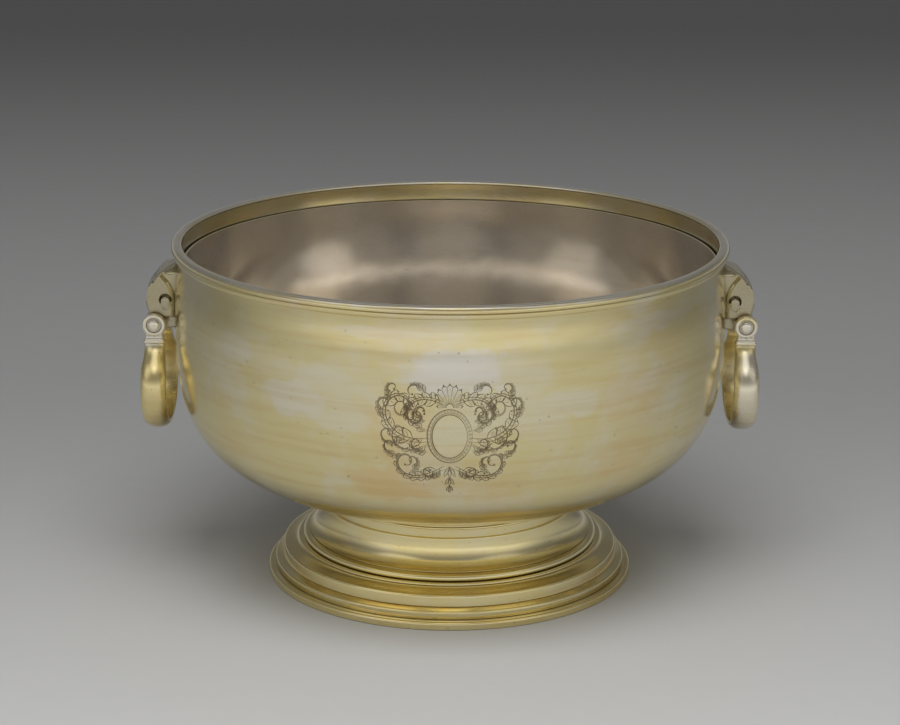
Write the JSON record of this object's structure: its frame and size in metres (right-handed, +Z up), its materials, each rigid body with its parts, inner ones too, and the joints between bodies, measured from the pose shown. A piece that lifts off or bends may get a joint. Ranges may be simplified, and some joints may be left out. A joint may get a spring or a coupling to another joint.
{
  "type": "footed punch bowl",
  "caption": "Round footed metal bowl with a fixed inner liner, moulded rim, stepped hollow foot and a hinged drop handle on a scroll bracket at each side.",
  "frame": {"origin": "centre of the foot's underside, on the surface it stands on", "axes": "+Z up; X through the two handles, +X towards the right one as pictured; -Y towards the viewer"},
  "size_m": [0.398, 0.36, 0.2245],
  "materials": {
    "gilt_bowl": "worn polished gilding",
    "gilt_foot": "polished gilding",
    "gilt_castings": "polished gilding",
    "pale_pins": "rubbed gilding",
    "silver_liner": "polished silver with fine scratches",
    "silver_fixings": "bright silver"
  },
  "bodies": {
    "bowl": {"foot_wire": "gilt_foot", "foot_tier": "gilt_foot", "foot_bead": "gilt_foot", "foot_neck": "gilt_foot", "foot_collar": "gilt_foot", "bowl_body": "gilt_bowl", "rim_moulding": "gilt_bowl", "liner": "silver_liner", "bracket_right": "gilt_castings", "bracket_stud_right": "silver_fixings", "stud_washer_right": "silver_fixings", "stud_nut_right": "silver_fixings", "hinge_pin_right": "pale_pins", "bracket_left": "gilt_castings", "bracket_stud_left": "silver_fixings", "stud_washer_left": "silver_fixings", "stud_nut_left": "silver_fixings", "hinge_pin_left": "pale_pins"},
    "right_handle": {"handle_right": "gilt_castings"},
    "left_handle": {"handle_left": "gilt_castings"}
  },
  "joints": [
    {"name": "right_handle_swing", "type": "hinge", "parent": "bowl", "child": "right_handle", "pos_m": [0.1908, 0, 0.171], "axis": [0, -1, 0], "range_deg": [-12, 175]},
    {"name": "left_handle_swing", "type": "hinge", "parent": "bowl", "child": "left_handle", "pos_m": [-0.1908, 0, 0.171], "axis": [0, 1, 0], "range_deg": [-12, 175]}
  ]
}
